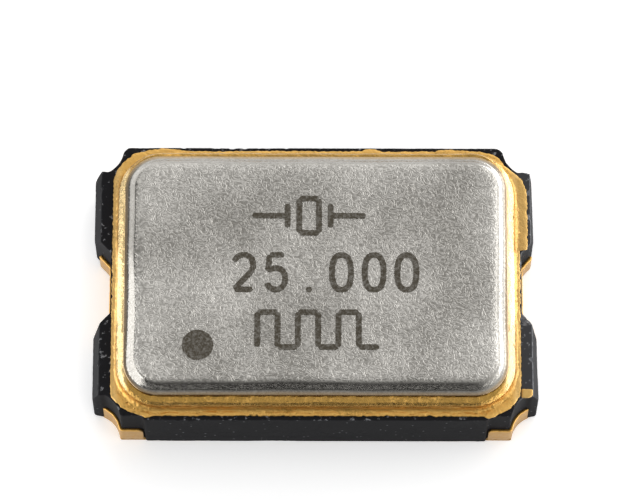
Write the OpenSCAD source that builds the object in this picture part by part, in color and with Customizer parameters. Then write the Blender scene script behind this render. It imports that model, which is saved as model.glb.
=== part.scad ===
// Surface mount crystal oscillator in a 5.0 x 3.2 mm ceramic package, sizes in millimetres.
// A tiered ceramic tray carries a chip and, above it, a quartz blank held at one end by two
// beads of silver adhesive. A gold plated metal ring is brazed to the tray and a drawn metal
// lid is seam welded to the ring. +Z is up, the solder pads rest on Z = 0, X is the long way.

/* [Package] */
// Length of the ceramic body
body_l = 5.0; // [4.8:0.05:5.4]
// Width of the ceramic body
body_w = 3.2; // [3.1:0.05:3.6]
// Height of the fired ceramic
ceramic_h = 0.86; // [0.84:0.01:0.95]
// Thickness of the bottom ceramic layer, up to the chip's floor
floor_t = 0.32; // [0.28:0.01:0.34]
// Depth of the chip's well below the bond shelves
well_h = 0.16; // [0.14:0.01:0.18]
// Height of the crystal shelves above the bond shelves
crystal_step = 0.14; // [0.13:0.01:0.16]
// Setback of the sloped upper edge on the two short sides
bevel_w = 0.085; // [0.05:0.005:0.12]
// Height of the sloped upper edge on the two short sides
bevel_h = 0.28; // [0.15:0.01:0.35]

/* [Castellations] */
// Radius of the quarter round notch at each corner
corner_r = 0.33; // [0.28:0.01:0.34]
// Length of the shallow recess beside each corner notch
recess_l = 0.26; // [0.15:0.01:0.32]
// Depth of that recess
recess_d = 0.05; // [0.04:0.005:0.07]
// Depth of the notch in the middle of each short side
side_notch_d = 0.20; // [0.16:0.01:0.22]
// Length of that notch at the wall
side_notch_l = 1.14; // [1.0:0.02:1.3]
// Run of each slanted flank of that notch, along the wall
side_flank = 0.22; // [0.15:0.01:0.26]
// Thickness of the gold film on the corner notches
plating_t = 0.03; // [0.02:0.005:0.035]
// Thickness of the gold ledge in the side notches
side_plating_t = 0.04; // [0.03:0.005:0.06]
// Height of the plated part of the walls above the ceramic's underside
plating_h = 0.34; // [0.28:0.01:0.38]
// Bare length between a short side and the film in a corner notch
corner_film_start = 0.13; // [0.06:0.01:0.16]
// Bare length between a short side and the film in its side notch
side_film_start = 0.07; // [0.02:0.01:0.1]

/* [Solder pads] */
// Length of a solder pad
pad_l = 1.2; // [1.0:0.05:1.3]
// Width of a solder pad
pad_w = 1.0; // [0.8:0.05:1.1]
// Thickness of a solder pad
pad_t = 0.02; // [0.015:0.005:0.03]
// Bare ceramic between a pad and the short side
pad_inset = 0.1; // [0.05:0.01:0.2]

/* [Seal ring] */
// Bare ceramic between the gold film and the short sides
film_inset_x = 0.215; // [0.2:0.005:0.25]
// Bare ceramic between the gold film and the long sides
film_inset_y = 0.035; // [0.02:0.005:0.05]
// Distance from the long side where the film's slanted corner begins
film_slant_start = 0.26; // [0.2:0.01:0.35]
// Distance from the short side to the knee of the slanted corner
film_knee_x = 0.35; // [0.33:0.005:0.42]
// Distance from the long side to the knee of the slanted corner
film_knee_y = 0.125; // [0.12:0.005:0.18]
// Thickness of the gold film under the ring
film_t = 0.012; // [0.01:0.001:0.02]
// Bare ceramic kept round each side notch
notch_margin = 0.02; // [0.01:0.005:0.03]
// Distance from the short sides to the tongues that reach the back wall
tongue_inset = 0.62; // [0.6:0.02:0.8]
// Length of such a tongue
tongue_l = 0.4; // [0.2:0.02:0.44]
// Distance from the back wall to the film on the right ledge
ledge_film_inset = 0.35; // [0.34:0.01:0.5]
// Length of the film on the right ledge
ledge_film_l = 0.86; // [0.4:0.02:1.0]
// Length of the small spot of film at the front of the right ledge
ledge_spot_l = 0.11; // [0.05:0.01:0.2]
// Distance from the long side to that spot
ledge_spot_inset = 0.25; // [0.2:0.01:0.6]

// Distance from the short sides to the ring
ring_inset_x = 0.28; // [0.27:0.005:0.32]
// Distance from the long sides to the ring
ring_inset_y = 0.12; // [0.11:0.005:0.16]
// Width of the ring's wall
ring_w = 0.35; // [0.3:0.01:0.38]
// Height of the ring
ring_h = 0.18; // [0.15:0.01:0.25]
// Outer corner radius of the ring
ring_r = 0.48; // [0.42:0.01:0.55]
// Rounding of the ring's upper outer edge
ring_edge_r = 0.045; // [0.02:0.005:0.06]
// Width of the braze fillet at the ring's foot
braze_w = 0.055; // [0.03:0.005:0.06]
// Height of the braze fillet
braze_h = 0.07; // [0.04:0.01:0.1]
// Step from the ring's bore down to the ceramic window
window_step = 0.02; // [0.01:0.005:0.04]

/* [Lid] */
// Distance from the ring's outer wall to the lid's edge
lid_inset = 0.08; // [0.06:0.005:0.11]
// How far the lid was welded off the middle, towards the back
lid_shift_y = 0.02; // [0:0.005:0.03]
// Height of the drawn lid above the ring
lid_h = 0.17; // [0.16:0.01:0.22]
// Thickness of the lid's sheet
lid_t = 0.08; // [0.05:0.01:0.1]
// Corner radius of the lid's outline
lid_r = 0.39; // [0.32:0.01:0.45]
// Rounding of the lid's upper edge
lid_edge_r = 0.13; // [0.1:0.005:0.14]
// Width of the welded foot round the lid
lid_foot_w = 0.025; // [0.015:0.005:0.04]
// Thickness of the welded foot
lid_foot_t = 0.03; // [0.02:0.005:0.04]

/* [Crystal] */
// Gap between the blank's held end and the window's wall
blank_gap = 0.25; // [0.2:0.01:0.28]
// Gap between the blank's free end and the window's wall
free_gap = 0.35; // [0.3:0.01:0.5]
// Gap between the blank's long edges and the window's walls
side_gap = 0.29; // [0.2:0.01:0.45]
// Thickness of the quartz blank
blank_t = 0.104; // [0.06:0.002:0.11]
// Depth of the bevel on the blank's ends
blank_bevel = 0.03; // [0.01:0.005:0.035]
// Length of that bevel
bevel_run = 0.12; // [0.05:0.01:0.2]
// Bare quartz between an electrode's active area and the blank's ends
electrode_end = 0.7; // [0.5:0.02:0.9]
// Bare quartz between an electrode's active area and the blank's long edges
electrode_side = 0.225; // [0.1:0.005:0.25]
// Thickness of the electrode films
electrode_t = 0.01; // [0.008:0.001:0.015]
// Width of the lead that joins an electrode to the held end
lead_w = 0.28; // [0.2:0.02:0.4]
// Overlap of that lead with the active area
lead_lap = 0.1; // [0.05:0.01:0.2]
// Length of the shelf that carries the held end
crystal_shelf_l = 0.6; // [0.54:0.01:0.65]
// How far the blank's free end reaches over its rest shelf
tip_reach = 0.1; // [0.05:0.01:0.2]
// Length of a contact pad on the crystal shelf
contact_l = 0.4; // [0.3:0.02:0.42]
// Width of a contact pad on the crystal shelf
contact_w = 0.4; // [0.3:0.02:0.44]
// Distance from the blank's held end to the contact pads' centres
contact_lap = 0.06; // [0.04:0.01:0.08]
// Distance from the blank's long edges to the contact pads' centres
contact_side = 0.3; // [0.26:0.01:0.34]
// Radius of a bead of silver adhesive
bead_r = 0.19; // [0.15:0.01:0.2]
// Height of a bead of silver adhesive
bead_h = 0.11; // [0.08:0.01:0.12]
// Adhesive left between the contact pad and the electrode
bead_bond = 0.02; // [0.015:0.005:0.03]

/* [Chip] */
// Width of each bond shelf, between the chip's well and the long walls
bond_shelf_w = 0.33; // [0.28:0.01:0.36]
// Ceramic between the chip's well and the ends of the bond shelves
well_end = 0.325; // [0.2:0.005:0.4]
// Gap between the chip and the well's ends
die_gap_x = 0.3; // [0.2:0.01:0.45]
// Gap between the chip and the well's long walls
die_gap_y = 0.17; // [0.12:0.01:0.3]
// Thickness of the chip
die_t = 0.11; // [0.08:0.01:0.12]
// Thickness of the adhesive under the chip
attach_t = 0.02; // [0.01:0.005:0.03]
// How far that adhesive spreads past the chip
attach_margin = 0.03; // [0.01:0.01:0.06]
// Edge of a square contact on the chip
die_pad_s = 0.09; // [0.08:0.005:0.1]
// Distance from the chip's edges to its contacts' centres
die_pad_inset = 0.1; // [0.06:0.01:0.15]
// Edge of a square contact on the bond shelf
bond_pad_s = 0.2; // [0.16:0.01:0.22]
// Distance from the well's ends to the outer shelf contacts' centres
bond_pad_inset = 0.28; // [0.2:0.01:0.35]
// Thickness of the contacts on the chip and the shelves
contact_t = 0.012; // [0.01:0.001:0.015]
// Diameter of a bond wire
wire_d = 0.025; // [0.018:0.001:0.03]
// Height of the ball at a bond wire's end on the chip
ball_h = 0.02; // [0.015:0.001:0.025]
// Rise of a bond wire's loop above the chip
wire_rise = 0.08; // [0.06:0.005:0.09]

/* [Hidden] */
$fn = 48;

CERAMIC = [0.17, 0.17, 0.18];
GOLD = [0.86, 0.68, 0.38];
PAD_GOLD = [0.82, 0.66, 0.44];
LID_METAL = [0.62, 0.61, 0.59];
QUARTZ = [0.85, 0.9, 0.92, 0.6];
SILVER = [0.7, 0.7, 0.68];
SILICON = [0.3, 0.33, 0.4];

// Levels, from the solder pads up
ceramic_z = pad_t;
floor_z = ceramic_z + floor_t;
bond_shelf_z = floor_z + well_h;
crystal_shelf_z = bond_shelf_z + crystal_step;
rim_z = ceramic_z + ceramic_h;
ring_z = rim_z + film_t;
lid_z = ring_z + ring_h;
die_z = floor_z + attach_t;
die_top_z = die_z + die_t;
blank_z = crystal_shelf_z + contact_t + bead_bond + electrode_t;

// Outlines that follow from the package
ring_l = body_l - 2 * ring_inset_x;
ring_out_w = body_w - 2 * ring_inset_y;
window_l = ring_l - 2 * (ring_w + window_step);
window_w = ring_out_w - 2 * (ring_w + window_step);
window_r = ring_r - ring_w;
layer_step = 0.04;
middle_w = window_w - 2 * layer_step;
blank_l = window_l - blank_gap - free_gap;
blank_w = window_w - 2 * side_gap;
blank_x0 = -window_l / 2 + blank_gap;
held_shelf_x = -window_l / 2 + crystal_shelf_l;
rest_shelf_x = blank_x0 + blank_l - tip_reach;
contact_x = blank_x0 + contact_lap;
contact_y = blank_w / 2 - contact_side;
lead_l = electrode_end + lead_lap;

// The middle layer's window, between the two crystal shelves, and what it holds
middle_x = (held_shelf_x + rest_shelf_x) / 2;
middle_l = rest_shelf_x - held_shelf_x;
well_l = middle_l - 2 * well_end;
well_w = middle_w - 2 * bond_shelf_w;
die_l = well_l - 2 * die_gap_x;
die_w = well_w - 2 * die_gap_y;
die_pad_at = [die_l, die_w] / 2 - [die_pad_inset, die_pad_inset];
bond_pad_at = [well_l / 2 - bond_pad_inset, (well_w + bond_shelf_w) / 2];
cut = 0.1;

// Points on an arc round c, from angle a to angle b
function arc(c, r, a, b, n = 8) =
    [for (i = [0:n]) c + r * [cos(a + (b - a) * i / n), sin(a + (b - a) * i / n)]];

// Sign of a place on the package: corners 1 to 4 run round from the front left
function corner_side(i) = [i == 1 || i == 4 ? -1 : 1, i < 3 ? -1 : 1];

// Place of contact i in two rows of three: 1 to 3 along the front, 4 to 6 along the back
function contact_place(i, at, z) = [middle_x + ((i - 1) % 3 - 1) * at.x, (i < 4 ? -1 : 1) * at.y, z];

module rounded_outline(l, w, r) {
    square([l - 2 * r, w], center = true);
    square([l, w - 2 * r], center = true);
    for (x = [-1, 1], y = [-1, 1])
        translate([x * (l / 2 - r), y * (w / 2 - r)]) circle(r);
}

// Sweeps a flat section round a rectangle with round corners. In the section X runs
// outwards from the corner's centre, so that X = r lies on the outline, and Y runs up.
module swept_frame(l, w, r) {
    for (i = [1:4]) {
        s = corner_side(i);
        translate([s.x * (l / 2 - r), s.y * (w / 2 - r), 0])
            rotate((i - 1) * 90 + 180) rotate_extrude(angle = 90) children();
    }
    for (s = [0, 180]) {
        rotate(s) translate([l / 2 - r, 0, 0])
            rotate([90, 0, 0]) linear_extrude(w - 2 * r, center = true) children();
        rotate(s + 90) translate([w / 2 - r, 0, 0])
            rotate([90, 0, 0]) linear_extrude(l - 2 * r, center = true) children();
    }
}

// A slab between two levels
module slab(z0, z1) {
    translate([0, 0, z0]) linear_extrude(z1 - z0) children();
}

// Turns the back right corner's children onto corner i
module at_corner(i) {
    s = corner_side(i);
    flip_x = s.x < 0 ? 1 : 0;
    flip_y = s.y < 0 ? 1 : 0;
    mirror([flip_x, 0, 0]) mirror([0, flip_y, 0]) children();
}

// Plan of the notch and its recess at the back right corner
module corner_cut() {
    translate([body_l, body_w] / 2) circle(corner_r);
    end_r = recess_d * 0.8;
    x0 = body_l / 2 - corner_r - recess_l;
    y0 = body_w / 2 - recess_d;
    translate([x0 + end_r, y0]) square([recess_l + cut, recess_d + cut]);
    translate([x0, y0 + end_r]) square([recess_l, recess_d + cut]);
    translate([x0 + end_r, y0 + end_r]) circle(end_r);
}

// Plan of the notch in the middle of the right side, at a depth d
module side_cut(d) {
    x0 = body_l / 2;
    run = side_flank * d / side_notch_d;
    half = side_notch_l / 2;
    polygon([[x0 - d, -half + run], [x0 - d, half - run], [x0, half], [x0 + cut, half],
        [x0 + cut, -half], [x0, -half]]);
}

module ceramic_base() color(CERAMIC) {
    x1 = body_l / 2;
    difference() {
        rotate([90, 0, 0]) linear_extrude(body_w, center = true)
            polygon([[-x1, ceramic_z], [x1, ceramic_z], [x1, rim_z - bevel_h],
                [x1 - bevel_w, rim_z], [-x1 + bevel_w, rim_z], [-x1, rim_z - bevel_h]]);
        // The recess is open to the rim at the front and lies under the upper layer at the back
        for (i = [1:4]) at_corner(i) {
            slab(0, i < 3 ? rim_z + cut : ceramic_z + plating_h) corner_cut();
            slab(0, rim_z + cut) translate([body_l, body_w] / 2) circle(corner_r);
        }
        for (s = [0, 1]) mirror([s, 0, 0]) slab(0, rim_z + cut) side_cut(side_notch_d);
        slab(crystal_shelf_z, rim_z + cut) rounded_outline(window_l, window_w, window_r);
        slab(bond_shelf_z, crystal_shelf_z + layer_step)
            translate([middle_x, 0]) rounded_outline(middle_l, middle_w, window_r / 2);
        slab(floor_z, bond_shelf_z + layer_step)
            translate([middle_x, 0]) rounded_outline(well_l, well_w, window_r / 2);
    }
}

// Solder pad with the film that climbs the corner notch and the recess
module corner_terminal(i) color(PAD_GOLD) at_corner(i) {
    x1 = body_l / 2;
    y1 = body_w / 2;
    film_y = y1 - recess_d;
    slab(0, pad_t) difference() {
        translate([x1 - pad_inset - pad_l, film_y + plating_t - pad_w]) square([pad_l, pad_w]);
        translate([x1, y1]) circle(corner_r - plating_t);
    }
    slab(0, ceramic_z + plating_h) {
        intersection() {
            translate([x1, y1]) difference() {
                circle(corner_r);
                circle(corner_r - plating_t);
            }
            translate([x1 - 2 * corner_r, film_y + plating_t - 2 * corner_r])
                square([2 * corner_r - corner_film_start, 2 * corner_r]);
        }
        translate([x1 - corner_r - recess_l + recess_d, film_y])
            square([recess_l - recess_d + plating_t / 2, plating_t]);
    }
}

// Gold ledge over the lower layer in the notch of a short side
module side_terminal(s) color(PAD_GOLD) mirror([s, 0, 0])
    slab(ceramic_z, ceramic_z + plating_h) intersection() {
        difference() {
            side_cut(side_notch_d);
            translate([side_plating_t, 0]) side_cut(side_notch_d);
        }
        translate([0, -body_w / 2]) square([body_l / 2 - side_film_start, body_w]);
    }

// Plan of what the film leaves bare round the back right corner's notch
module film_corner_cut() {
    x1 = body_l / 2;
    y1 = body_w / 2;
    polygon([[x1 + cut, y1 - film_slant_start], [x1 - film_inset_x, y1 - film_slant_start],
        [x1 - film_knee_x, y1 - film_knee_y], [x1 - tongue_inset, y1 - film_inset_y],
        [x1 - tongue_inset, y1 + cut], [x1 + cut, y1 + cut]]);
}

// Gold film that the ring is brazed to, with the tongues left by the plating
module seal_metallization() color(GOLD) slab(rim_z, ring_z) difference() {
    union() {
        rounded_outline(body_l - 2 * film_inset_x, body_w - 2 * film_inset_y, window_r);
        for (s = [-1, 1])
            translate([s * (body_l - 2 * tongue_inset - tongue_l) / 2, (body_w - ring_w) / 2])
                square([tongue_l, ring_w], center = true);
        translate([body_l / 2 - ring_w, body_w / 2 - ledge_film_inset - ledge_film_l])
            square([ring_w - bevel_w - notch_margin, ledge_film_l]);
        translate([body_l / 2 - ring_w, ledge_spot_inset - body_w / 2])
            square([ring_w - bevel_w, ledge_spot_l]);
    }
    for (i = [1:4]) at_corner(i) film_corner_cut();
    for (s = [0, 1]) mirror([s, 0, 0]) translate([-notch_margin / 2, 0]) side_cut(side_notch_d);
    rounded_outline(window_l, window_w, window_r);
}

module seal_ring() color(GOLD) translate([0, 0, ring_z]) {
    x0 = ring_r - ring_w;
    e = ring_edge_r;
    swept_frame(ring_l, ring_out_w, ring_r)
        polygon(concat([[x0, 0], [ring_r, 0]], arc([ring_r - e, ring_h - e], e, 0, 90, 6),
            [[x0, ring_h]]));
}

module braze_fillet() color(GOLD) translate([0, 0, ring_z])
    swept_frame(ring_l, ring_out_w, ring_r)
        translate([ring_r, 0]) polygon(concat([[0, 0]],
            [for (p = arc([1, 1], 1, 270, 180, 6)) [p.x * braze_w, p.y * braze_h]]));

// Drawn sheet cup: a thin welded foot, a round shoulder and a flat top
module lid() color(LID_METAL) translate([0, lid_shift_y, lid_z]) {
    l = ring_l - 2 * lid_inset;
    w = ring_out_w - 2 * lid_inset;
    wall = lid_r - lid_foot_w;
    e = lid_edge_r;
    in = e - lid_t;
    swept_frame(l, w, lid_r)
        polygon(concat([[wall - lid_t, 0], [lid_r, 0], [lid_r, lid_foot_t], [wall, lid_foot_t]],
            arc([wall - e, lid_h - e], e, 0, 90, 8), [[0, lid_h], [0, lid_h - lid_t]],
            arc([wall - e, lid_h - e], in, 90, 0, 4)));
    translate([-(l / 2 - lid_r), -(w / 2 - lid_r), lid_h - lid_t])
        cube([l - 2 * lid_r, w - 2 * lid_r, lid_t]);
}

// Side section of the blank, from its held end, with the faces grown by g
module blank_section(g = 0) {
    x1 = blank_l;
    r = bevel_run;
    b = blank_bevel;
    polygon([[-g, b], [r, -g], [x1 - r, -g], [x1 + g, b],
        [x1 + g, blank_t - b], [x1 - r, blank_t + g], [r, blank_t + g], [-g, blank_t - b]]);
}

// Runs a side section of the blank along Y, w wide and centred on y
module across_blank(y, w) {
    translate([blank_x0, y, blank_z]) rotate([90, 0, 0]) linear_extrude(w, center = true) children();
}

// A strip of electrode film on the blank, where the children's region lies
module film_strip(y, w) across_blank(y, w) intersection() {
    difference() {
        blank_section(electrode_t);
        blank_section();
    }
    children();
}

module quartz_blank() color(QUARTZ) across_blank(0, blank_w) blank_section();

// The upper electrode's lead turns over the held end to the contact below
module top_electrode() color(GOLD) {
    film_strip(0, blank_w - 2 * electrode_side)
        translate([electrode_end, blank_t / 2]) square([blank_l - 2 * electrode_end, blank_t]);
    film_strip(contact_y, lead_w) {
        translate([-blank_t, -blank_t]) square([blank_t + contact_l / 2, 1.5 * blank_t]);
        translate([-blank_t, blank_t / 2 - electrode_t]) square([blank_t + lead_l, 2 * blank_t]);
    }
}

module bottom_electrode() color(GOLD) {
    film_strip(0, blank_w - 2 * electrode_side)
        translate([electrode_end, -blank_t / 2]) square([blank_l - 2 * electrode_end, blank_t]);
    film_strip(-contact_y, lead_w) translate([0, -blank_t / 2]) square([lead_l, blank_t]);
}

module crystal_contact(s) color(GOLD) slab(crystal_shelf_z, crystal_shelf_z + contact_t)
    translate([contact_x, s * contact_y]) square([contact_l, contact_w], center = true);

// Bead of silver adhesive, squeezed up round the blank's end
module adhesive_bead(s) color(SILVER) difference() {
    translate([contact_x, s * contact_y, crystal_shelf_z + contact_t])
        rotate_extrude() polygon(concat([[0, 0]],
            [for (p = arc([0, 0], 1, 0, 90, 6)) [p.x * bead_r, p.y * bead_h]]));
    across_blank(0, body_w) blank_section(electrode_t);
}

module die_attach() color(SILVER) slab(floor_z, die_z) translate([middle_x, 0])
    square([die_l + 2 * attach_margin, die_w + 2 * attach_margin], center = true);

module oscillator_chip() color(SILICON) slab(die_z, die_top_z)
    translate([middle_x, 0]) square([die_l, die_w], center = true);

module contact_square(place, side) color(GOLD) translate(place)
    linear_extrude(contact_t) square(side, center = true);

module chip_contacts()
    for (i = [1:6]) contact_square(contact_place(i, die_pad_at, die_top_z), die_pad_s);

module bond_pad(i) contact_square(contact_place(i, bond_pad_at, bond_shelf_z), bond_pad_s);

// Round tube along a path that never turns straight up, as one closed polyhedron
module tube(path, d, sides = 8) {
    n = len(path);
    points = [for (i = [0:n - 1])
        let (
            along = path[min(i + 1, n - 1)] - path[max(i - 1, 0)],
            t = along / norm(along),
            flat = [t.y, -t.x, 0],
            s = flat / norm(flat),
            up = cross(t, s)
        )
        for (j = [0:sides - 1]) path[i] + d / 2 * (cos(j * 360 / sides) * s + sin(j * 360 / sides) * up)];
    walls = [for (i = [0:n - 2], j = [0:sides - 1])
        let (k = (j + 1) % sides)
        [i * sides + j, (i + 1) * sides + j, (i + 1) * sides + k, i * sides + k]];
    ends = [[for (j = [0:sides - 1]) j], [for (j = [sides - 1:-1:0]) (n - 1) * sides + j]];
    polyhedron(points, concat(walls, ends));
}

// Gold wire with a ball on the chip's contact and a flattened stitch on the shelf's
module bond_wire(i) color(GOLD) {
    from = contact_place(i, die_pad_at, die_top_z + contact_t);
    to = contact_place(i, bond_pad_at, bond_shelf_z + contact_t);
    start = from + [0, 0, ball_h / 2];
    stop = to + [0, 0, wire_d / 2];
    steps = 12;
    tube([for (k = [0:steps])
        let (u = k / steps)
        start + u * (stop - start) + [0, 0, wire_rise * sin(180 * pow(u, 0.7))]], wire_d);
    translate(from) cylinder(r = 1.6 * wire_d, h = ball_h);
    translate(to + [0, 0, wire_d / 4]) cube([2, 3, 0.5] * wire_d, center = true);
}

ceramic_base();
seal_metallization();
braze_fillet();
seal_ring();
lid();
for (i = [1:4])
    corner_terminal(i);
side_terminal(1);  // side_terminal_left
side_terminal(0);  // side_terminal_right
quartz_blank();
top_electrode();
bottom_electrode();
for (i = [1:2]) {
    crystal_contact(2 * i - 3);
    adhesive_bead(2 * i - 3);
}
die_attach();
oscillator_chip();
chip_contacts();
for (i = [1:6]) {
    bond_pad(i);
    bond_wire(i);
}
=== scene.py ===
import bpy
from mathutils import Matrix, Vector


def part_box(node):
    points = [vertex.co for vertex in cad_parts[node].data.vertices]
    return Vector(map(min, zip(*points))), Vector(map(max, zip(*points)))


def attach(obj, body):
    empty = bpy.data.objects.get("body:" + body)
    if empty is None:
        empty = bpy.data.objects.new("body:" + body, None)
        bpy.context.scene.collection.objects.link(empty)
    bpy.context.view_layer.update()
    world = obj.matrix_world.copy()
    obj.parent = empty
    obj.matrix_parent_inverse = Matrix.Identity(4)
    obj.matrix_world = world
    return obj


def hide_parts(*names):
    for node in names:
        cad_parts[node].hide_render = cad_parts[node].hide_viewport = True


bl_info = {
    "name": "Crystal oscillator",
    "version": (1, 0, 0),
    "blender": (4, 5, 0),
    "location": "View3D > Sidebar > Oscillator",
    "description": "Dresses a packed crystal oscillator: lid, brazed gold seal, ceramic tray, terminals and laser marks",
    "category": "Object",
}

import math

import bpy
import numpy as np
from mathutils import Vector

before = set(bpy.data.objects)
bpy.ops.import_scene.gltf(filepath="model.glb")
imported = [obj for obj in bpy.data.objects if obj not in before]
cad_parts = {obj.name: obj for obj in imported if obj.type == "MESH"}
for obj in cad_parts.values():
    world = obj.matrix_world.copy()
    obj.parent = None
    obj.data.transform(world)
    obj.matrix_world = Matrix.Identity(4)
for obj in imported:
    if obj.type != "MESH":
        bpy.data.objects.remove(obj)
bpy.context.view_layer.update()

MM = 1e-3
BASE_LOW, BASE_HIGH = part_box("ceramic_base")
FILM_LOW, FILM_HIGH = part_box("seal_metallization")
RING_LOW, RING_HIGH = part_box("seal_ring")
LID_LOW, LID_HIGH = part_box("lid")
PAD_LOW, PAD_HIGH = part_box("corner_terminal_3")
SIDE_LOW, SIDE_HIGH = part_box("side_terminal_right")


def linear(code):
    """Turns an sRGB hex colour into linear red, green and blue."""
    c = np.array([int(code[i : i + 2], 16) for i in (0, 2, 4)]) / 255
    return tuple(np.where(c <= 0.04045, c / 12.92, ((c + 0.055) / 1.055) ** 2.4))


def length(name, description, millimetres):
    """A length property, given in millimetres and kept in metres."""
    return bpy.props.FloatProperty(
        name=name, description=description, default=millimetres * MM, min=0, precision=6, unit="LENGTH"
    )


def colour(name, description, code):
    """A colour property, given as an sRGB hex code and kept linear."""
    return bpy.props.FloatVectorProperty(
        name=name, description=description, default=linear(code), min=0, max=1, subtype="COLOR"
    )


class OscillatorSizes(bpy.types.PropertyGroup):
    notch_radius: length("Corner notch", "Radius of the notches at the package's corners", 0.33)
    recess_length: length("Recess length", "Length of the recess beside a corner notch", 0.26)
    recess_depth: length("Recess depth", "Depth of the recess beside a corner notch", 0.05)
    side_notch_depth: length("Side notch depth", "Depth of the notch in each short side", 0.2)
    side_notch_opening: length("Side notch opening", "Width of a side notch at the wall", 1.14)
    side_notch_flat: length("Side notch flat", "Width of a side notch at its bottom", 0.7)
    bevel_width: length("Bevel width", "Width of the bevel along the short sides", 0.085)
    bevel_height: length("Bevel height", "Height of the bevel along the short sides", 0.28)
    ceramic_edge: length("Ceramic edge", "Radius of the fired ceramic's edges", 0.014)
    ring_corner: length("Ring corner", "Outer corner radius of the seal ring", 0.48)
    ring_width: length("Ring width", "Width of the seal ring", 0.35)
    ring_edge: length("Ring edge", "Width of the seal ring's worn outer edge on the short sides", 0.075)
    braze_width: length("Braze width", "How far the braze spreads from the ring", 0.06)
    braze_height: length("Braze height", "How far the braze climbs the ring", 0.08)
    lid_corner: length("Lid corner", "Corner radius of the lid's foot", 0.39)
    lid_sheet: length("Lid sheet", "Thickness of the lid's sheet", 0.08)
    mark_stroke: length("Mark stroke", "Width of a laser marked line", 0.066)
    mark_dot: length("Mark dot", "Diameter of the round mark at terminal one", 0.35)
    mark_height: length("Mark height", "Height of a laser marked figure", 0.47)


class OscillatorColours(bpy.types.PropertyGroup):
    lid_light: colour("Lid, light", "Raised strokes of the tumbled nickel lid", "CDCAC4")
    # This colour is also the painted shade on the lid's shoulder.
    lid_dark_and_painted_shade: colour("Lid, dark", "Hollows of the tumbled nickel lid", "8A8781")
    mark: colour("Laser mark", "Oxide of the laser marks", "4B453A")
    gold: colour("Gold plate", "Gold plate of the ring, braze and film", "E2B260")
    # This colour is also the painted shade that darkens the ring.
    gold_deep_and_painted_shade: colour("Gold plate, deep", "Gold plate in its pits", "B08A46")
    # This pale colour is a painted highlight on the short sides of the ring and braze.
    gold_painted_highlight: colour("Gold plate, thin", "Gold plate rubbed thin, with the nickel below shining through", "F0D6A0")
    terminal: colour("Terminal gold", "Matte gold of the terminals", "B8904F")
    ceramic: colour("Black ceramic", "Fired black ceramic", "1F1F21")
    # This colour is also the painted light on the ceramic's right rim.
    ceramic_speck_and_painted_light: colour("Ceramic speck", "Bright grains and chipped edges of the ceramic", "C9CBD0")
    quartz: colour("Quartz", "The lapped quartz blank", "E9EFF2")
    silver: colour("Silver adhesive", "Silver filled adhesive", "A9A8A4")
    silicon: colour("Silicon", "Polished silicon of the chip", "3D4556")
    floor: colour("Floor", "The plain pale floor", "F4F4F4")


# ---------------------------------------------------------------- shapes


def ripple(points, size, seed, waves=28):
    """Sum of sine waves in random directions, with lengths round size; its spread is about one."""
    rng = np.random.default_rng(seed)
    way = rng.normal(size=(waves, 3))
    way /= (np.linalg.norm(way, axis=1) * size * rng.uniform(0.7, 1.5, waves))[:, None]
    return np.sin(2 * np.pi * (points @ way.T + rng.uniform(0, 1, waves))).sum(-1) * math.sqrt(2 / waves)


def surface(name, grid, ends=None):
    """A mesh over a grid of points (rows, columns, 3) whose columns close round. The rows close
    round too, unless ends gives the two points that close the first and the last row."""
    rows, columns = grid.shape[:2]
    points = grid.reshape(-1, 3)
    number = np.arange(rows * columns).reshape(rows, columns)
    after = number if ends is None else number[:-1]
    below, above = after, np.roll(number, -1, axis=0)[: len(after)]
    faces = np.stack([below, np.roll(below, -1, 1), np.roll(above, -1, 1), above], -1).reshape(-1, 4).tolist()
    if ends is not None:
        first, last = number[0], number[-1]
        faces += [[len(points), b, a] for a, b in zip(first.tolist(), np.roll(first, -1).tolist())]
        faces += [[a, b, len(points) + 1] for a, b in zip(last.tolist(), np.roll(last, -1).tolist())]
        points = np.vstack([points, ends])
    mesh = bpy.data.meshes.new(name)
    mesh.from_pydata(points.tolist(), [], faces)
    mesh.validate()
    mesh.shade_smooth()
    return mesh


def merged(name, meshes):
    """One mesh of several."""
    points, faces, start = [], [], 0
    for mesh in meshes:
        co = np.empty(3 * len(mesh.vertices), np.float32)
        mesh.vertices.foreach_get("co", co)
        points.append(co.reshape(-1, 3))
        faces += [[start + v for v in face.vertices] for face in mesh.polygons]
        start += len(mesh.vertices)
        bpy.data.meshes.remove(mesh)
    whole = bpy.data.meshes.new(name)
    whole.from_pydata(np.concatenate(points).tolist(), [], faces)
    whole.shade_smooth()
    return whole


def piece(mesh, material, slot, *nodes):
    """Puts a mesh into the scene with its finish; it rides on the body and stands for these nodes."""
    made = bpy.data.objects.new(mesh.name, mesh)
    bpy.context.scene.collection.objects.link(made)
    made.data.materials.append(material)
    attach(made, "root")
    if nodes:
        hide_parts(*nodes)
    return made


def quarters(first, *others):
    """A whole outline from its first quarter, which runs from the right side's middle to the back
    side's middle: the quarter, then the back left, front left and front right ones, given in the
    first quarter's own place and mirrored here. A quarter that isn't given is the first again."""
    second, third, fourth = others or (first, first, first)
    return np.concatenate(
        [first[:-1], (second * (-1, 1))[:0:-1], -third[:-1], (fourth * (1, -1))[:0:-1]]
    )


def rounded_frame(half_x, half_y, r, counts=(70, 48, 118)):
    """Outline of a rectangle with round corners, anticlockwise from the right side's middle. Each
    quarter is a straight, a quarter circle and a straight, with these counts of points."""
    turn = np.linspace(0, np.pi / 2, counts[1], endpoint=False)
    up = np.linspace(0, half_y - r, counts[0], endpoint=False)
    back = np.linspace(half_x - r, 0, counts[2] + 1)
    return quarters(
        np.concatenate(
            [
                np.stack([np.full_like(up, half_x), up], -1),
                np.stack([half_x - r + r * np.cos(turn), half_y - r + r * np.sin(turn)], -1),
                np.stack([back, np.full_like(back, half_y)], -1),
            ]
        )
    )


def level(outline, z):
    """An outline at a height, as one row of points."""
    return np.column_stack([outline, np.broadcast_to(z, len(outline))])


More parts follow.
